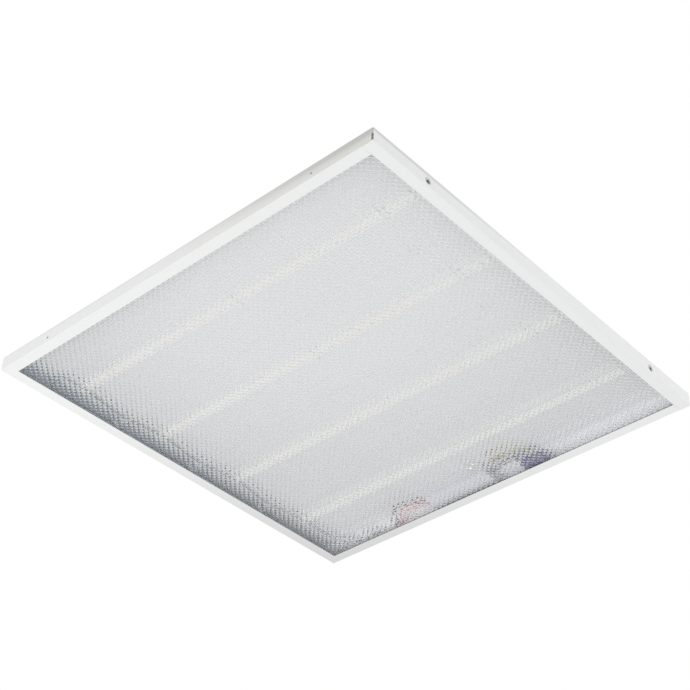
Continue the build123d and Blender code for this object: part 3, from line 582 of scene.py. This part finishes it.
fittings = {
    "washerSteel": {"on": ["earth_washer"], "color": (0.62, 0.63, 0.65), "roughness": 0.32, "metallic": 1.0},
    "connectorWhite": {"on": ["strip_connector_"], "numbers": 4, "color": (0.82, 0.82, 0.78),
                       "roughness": 0.5},
    "clipWhite": {"on": ["strip_clips", "lead_saddles"], "color": (0.85, 0.85, 0.83), "roughness": 0.45},
    "caseGrey": {"on": ["driver_base", "driver_cover"], "color": (0.70, 0.70, 0.74), "roughness": 0.5,
                 "grain": (1600.0, 0.00004, 0.03)},
    "boardGreen": {"on": ["driver_board"], "color": (0.03, 0.14, 0.07), "roughness": 0.35},
    "ferriteBlack": {"on": ["driver_transformer"], "color": (0.05, 0.05, 0.055), "roughness": 0.6},
    "sleeveBlack": {"on": ["driver_capacitors"], "color": (0.03, 0.035, 0.06), "roughness": 0.3},
    "terminalViolet": {"on": ["terminal_block"], "color": (0.19, 0.18, 0.33), "roughness": 0.45,
                       "grain": (1600.0, 0.00003, 0.03)},
    "buttonViolet": {"on": ["terminal_button_"], "numbers": 3, "color": (0.34, 0.32, 0.50),
                     "roughness": 0.4},
    "clampSteel": {"on": ["terminal_clamps"], "color": (0.6, 0.6, 0.6), "roughness": 0.35, "metallic": 1.0},
    "grommetRubber": {"on": ["cable_grommet"], "color": (0.62, 0.62, 0.60), "roughness": 0.7},
    "lugBrass": {"on": ["earth_lug", "earth_screw"], "color": (0.75, 0.58, 0.25), "roughness": 0.3,
                 "metallic": 1.0},
    "plugWhite": {"on": ["lead_plug", "lead_socket"], "color": (0.82, 0.82, 0.78), "roughness": 0.5},
    "leadGreyStrip": {"on": ["return_lead", "feed_lead"], "color": (0.16, 0.18, 0.19), "roughness": 0.4},
}

for name, fitting in fittings.items():
    endings = [str(n + 1) for n in range(fitting["numbers"])] if "numbers" in fitting else [""]
    for ending in endings:
        dress(plainFinish(name + ending, fitting), *[node + ending for node in fitting["on"]])
print("fittings are dressed")


# Short leads, redrawn round along the smooth line of their CAD routes.

leadTube = {
    "sides": 14,
    "wideRadius": 0.9 * mm,
    "slimRadius": 0.7 * mm,
    "pointsPerSpan": 10,
    "lineOrder": 3,
}

insulation = {
    "leadBlack": {"color": (0.02, 0.02, 0.022), "roughness": 0.35},
    "leadRed": {"color": (0.80, 0.03, 0.08), "roughness": 0.35},
    "leadBrown": {"color": (0.28, 0.13, 0.05), "roughness": 0.35},
    "leadBlue": {"color": (0.10, 0.16, 0.34), "roughness": 0.35},
    "leadGreyJumper": {"color": (0.16, 0.18, 0.19), "roughness": 0.4},
}

earthStripe = {
    "color": (0.72, 0.62, 0.04),
    "roughness": 0.38,
    "grain": (2000.0, 0.00001, 0.03),
    "green": (0.10, 0.30, 0.05),
    "greenShare": 0.45,
    "step": 0.0036,
    "slantRise": 2.0,
    "ahead": 10.0,        # keeps the remainder from being negative
}

shortLeads = {        # in millimetres, from the driver or the terminal to where the lead ends
    "driver_lead_black": {"wears": "leadBlack", "route": (
        (-93.3, 270, 15.85), (-107, 270, 15.85), (-130, 246, 6.85), (-149, 250, 7.85),
        (-160, 286.3, 15.1), (-174.5, 286.3, 15.1))},
    "driver_lead_red": {"wears": "leadRed", "route": (
        (-93.3, 277, 15.85), (-109, 277, 15.85), (-136, 259, 7.85), (-154, 289.7, 15.1),
        (-174.5, 289.7, 15.1))},
    "mains_lead_brown": {"wears": "leadBrown", "route": (
        (61, 276, 10.5), (61, 262, 10.5), (42, 258, 8), (19, 270, 15.85), (5.3, 270, 15.85))},
    "mains_lead_blue": {"wears": "leadBlue", "route": (
        (71, 276, 10.5), (71, 257, 10.5), (44, 251, 7.5), (19, 264, 15.85), (5.3, 264, 15.85))},
    "earth_lead": {"wears": "leadGreenYellow", "route": (
        (81, 276, 10.5), (81, 252, 10.5), (56.2, 248, 16.3), (32.5, 248, 16.3))},
}

jumperLeads = {        # between neighbouring strips, in millimetres
    "x": -262.0,
    "height": 15.1,
    "start": 1.5,        # distance from the row's middle
    "straight": 16.0,
    "bow": 9.0,
}


def stripeFinish(s):        # yellow and green by turns along the lead's slant
    finish, tree, shader, place = startFinish("leadGreenYellow", s)
    color = addGrain(tree, shader, place, s)
    x, y, z = splitPlace(tree, place)
    slant = maths(tree, "ADD", maths(tree, "ADD", x, y), maths(tree, "MULTIPLY", z, s["slantRise"]))
    turn = maths(tree, "MODULO", maths(tree, "ADD", slant, s["ahead"]), s["step"])
    green = maths(tree, "LESS_THAN", turn, s["step"] * s["greenShare"])
    tree.links.new(mixTones(tree, green, color, s["green"]), shader.inputs["Base Color"])
    return finish


def leadPath(route, s):        # points along the smooth line that the route's points pull into shape
    curve = bpy.data.curves.new("leadLine", "CURVE")
    curve.dimensions = "3D"
    curve.resolution_u = s["pointsPerSpan"]
    spline = curve.splines.new("NURBS")
    spline.points.add(len(route) - 1)
    spline.points.foreach_set("co", np.c_[np.array(route) * mm, np.ones(len(route))].ravel())
    spline.order_u = s["lineOrder"]
    spline.use_endpoint_u = True
    line = bpy.data.objects.new("leadLine", curve)
    bpy.context.scene.collection.objects.link(line)
    bpy.context.view_layer.update()
    mesh = bpy.data.meshes.new_from_object(line)
    path = np.empty(len(mesh.vertices) * 3)
    mesh.vertices.foreach_get("co", path)
    bpy.data.objects.remove(line)
    bpy.data.meshes.remove(mesh)
    return path.reshape(-1, 3)


def tubePoints(path, radius, sides):
    # a circle square to the path at each of its points:
    # centre + radius * (aside * cos turn + upward * sin turn)
    along = np.gradient(path, axis=0)
    along[0], along[-1] = path[1] - path[0], path[-1] - path[-2]
    along /= np.linalg.norm(along, axis=1, keepdims=True)
    aside = np.cross(along, (0.0, 0.0, 1.0))
    aside /= np.linalg.norm(aside, axis=1, keepdims=True)
    upward = np.cross(aside, along)
    turn = np.linspace(0, 2 * np.pi, sides, endpoint=False)[None, :, None]
    return path[:, None] + radius * (aside[:, None] * np.cos(turn) + upward[:, None] * np.sin(turn))


def tubeFaces(rings, sides):        # quads between neighbouring rings, and a face on each end
    i, j = np.meshgrid(np.arange(rings - 1), np.arange(sides), indexing="ij")
    a = i * sides + j
    b = i * sides + (j + 1) % sides
    quads = np.stack([a, b, b + sides, a + sides], axis=-1).reshape(-1, 4)
    ring = np.arange(sides)
    return quads.tolist() + [ring.tolist(), (ring[::-1] + (rings - 1) * sides).tolist()]


def buildLead(node, route, radius, finish, s):        # a round tube along the path, with both ends closed
    path = leadPath(route, s)
    points = tubePoints(path, radius, s["sides"]).reshape(-1, 3)
    faces = tubeFaces(len(path), s["sides"])
    piece = addPiece(node + "_round", points, faces, finish, nodes[node]["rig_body"])
    piece.data.shade_smooth()
    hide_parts(node)


def jumperRoute(low, high, s):        # straight out of one row, bowed in the middle, straight into the next
    x, z = s["x"], s["height"]
    return ((x, low + s["start"], z), (x, low + s["straight"], z), (x - s["bow"], (low + high) / 2, z),
            (x, high - s["straight"], z), (x, high - s["start"], z))


leadFinishes = {name: plainFinish(name, s) for name, s in insulation.items()}
leadFinishes["leadGreenYellow"] = stripeFinish(earthStripe)
for node, lead in shortLeads.items():
    buildLead(node, lead["route"], leadTube["wideRadius"], leadFinishes[lead["wears"]], leadTube)
rows = lightStrips["rows"]
jumperGrey = leadFinishes["leadGreyJumper"]
for number, (low, high) in enumerate(zip(rows, rows[1:]), start=1):
    route = jumperRoute(low, high, jumperLeads)
    buildLead(f"jumper_lead_{number}", route, leadTube["slimRadius"], jumperGrey, leadTube)
print("short leads are round")
